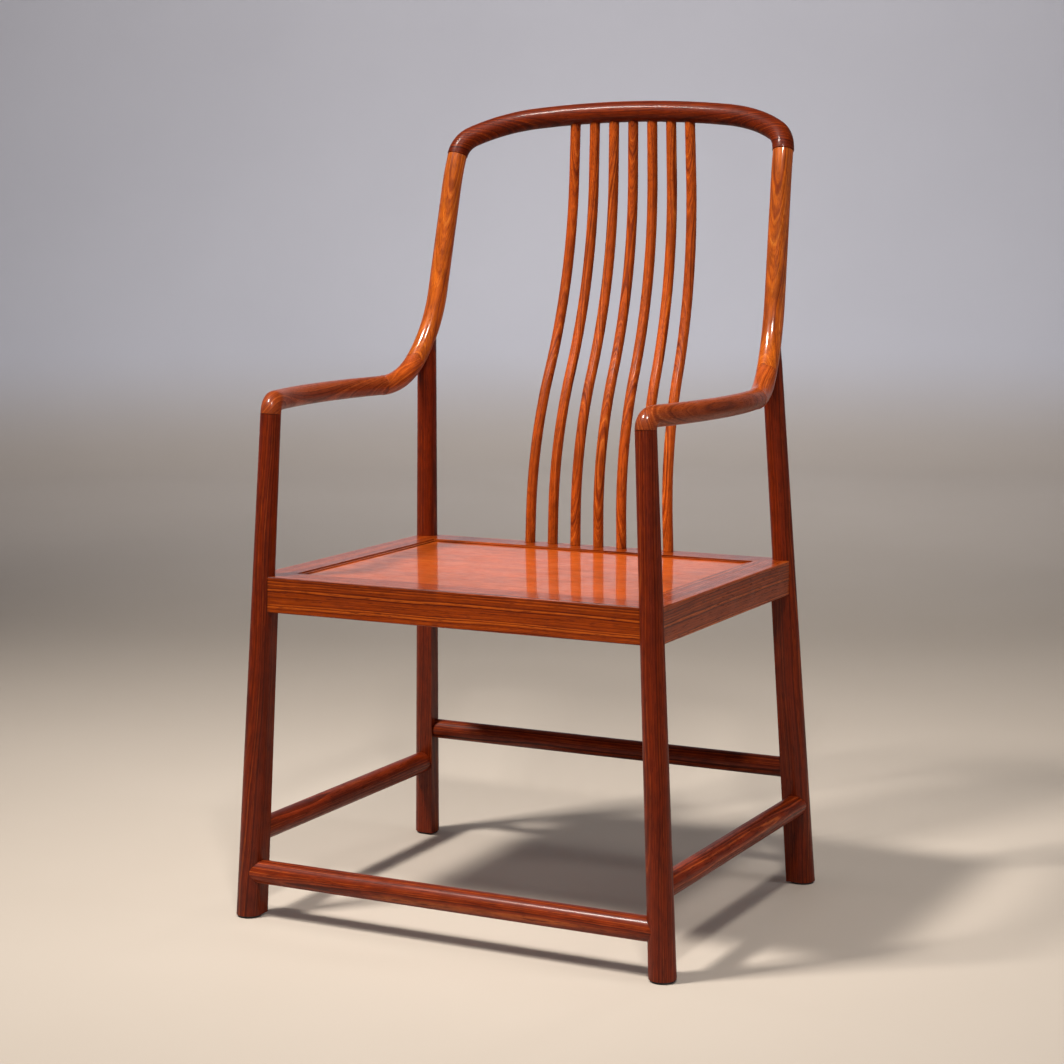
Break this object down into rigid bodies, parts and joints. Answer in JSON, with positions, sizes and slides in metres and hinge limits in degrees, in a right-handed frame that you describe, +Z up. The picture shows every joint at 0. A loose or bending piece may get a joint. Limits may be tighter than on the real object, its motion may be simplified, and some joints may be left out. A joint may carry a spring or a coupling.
{
  "type": "wooden armchair",
  "caption": "Ming-style rosewood armchair: round splayed legs, arms that sweep up into an arched crest rail, slender bent back spindles, and a framed floating-panel seat on low stepped stretchers.",
  "frame": {"origin": "centre of the bounding box in plan, on the floor", "axes": "X runs left to right across the chair, the seat's front faces -Y, and Z is up"},
  "size_m": [0.6252, 0.5826, 1.0648],
  "materials": {
    "rosewood_dark": "dark red-brown rosewood under clear gloss lacquer",
    "rosewood_red": "red-brown rosewood under clear gloss lacquer",
    "rosewood_orange": "warm orange rosewood under clear gloss lacquer",
    "rosewood_rail": "striped red-orange rosewood under clear gloss lacquer",
    "rosewood_panel": "orange-red rosewood boards polished to a mirror gloss",
    "pad_rubber": "matt black pad"
  },
  "bodies": {
    "root": {"crest_rail": "rosewood_dark", "stile_left": "rosewood_orange", "stile_right": "rosewood_orange", "elbow_left": "rosewood_red", "elbow_right": "rosewood_red", "arm_left": "rosewood_red", "arm_right": "rosewood_red", "front_leg_left": "rosewood_dark", "front_leg_right": "rosewood_dark", "rear_leg_left": "rosewood_dark", "rear_leg_right": "rosewood_dark", "spindle_1": "rosewood_orange", "spindle_2": "rosewood_orange", "spindle_3": "rosewood_orange", "spindle_4": "rosewood_orange", "spindle_5": "rosewood_orange", "spindle_6": "rosewood_orange", "spindle_7": "rosewood_orange", "seat_rail_front": "rosewood_rail", "seat_rail_rear": "rosewood_rail", "seat_rail_left": "rosewood_rail", "seat_rail_right": "rosewood_rail", "seat_panel": "rosewood_panel", "seat_batten_left": "rosewood_rail", "seat_batten_right": "rosewood_rail", "front_stretcher": "rosewood_red", "rear_stretcher": "rosewood_red", "side_stretcher_left": "rosewood_red", "side_stretcher_right": "rosewood_red", "foot_pad_front_left": "pad_rubber", "foot_pad_front_right": "pad_rubber", "foot_pad_rear_left": "pad_rubber", "foot_pad_rear_right": "pad_rubber"}
  },
  "joints": []
}
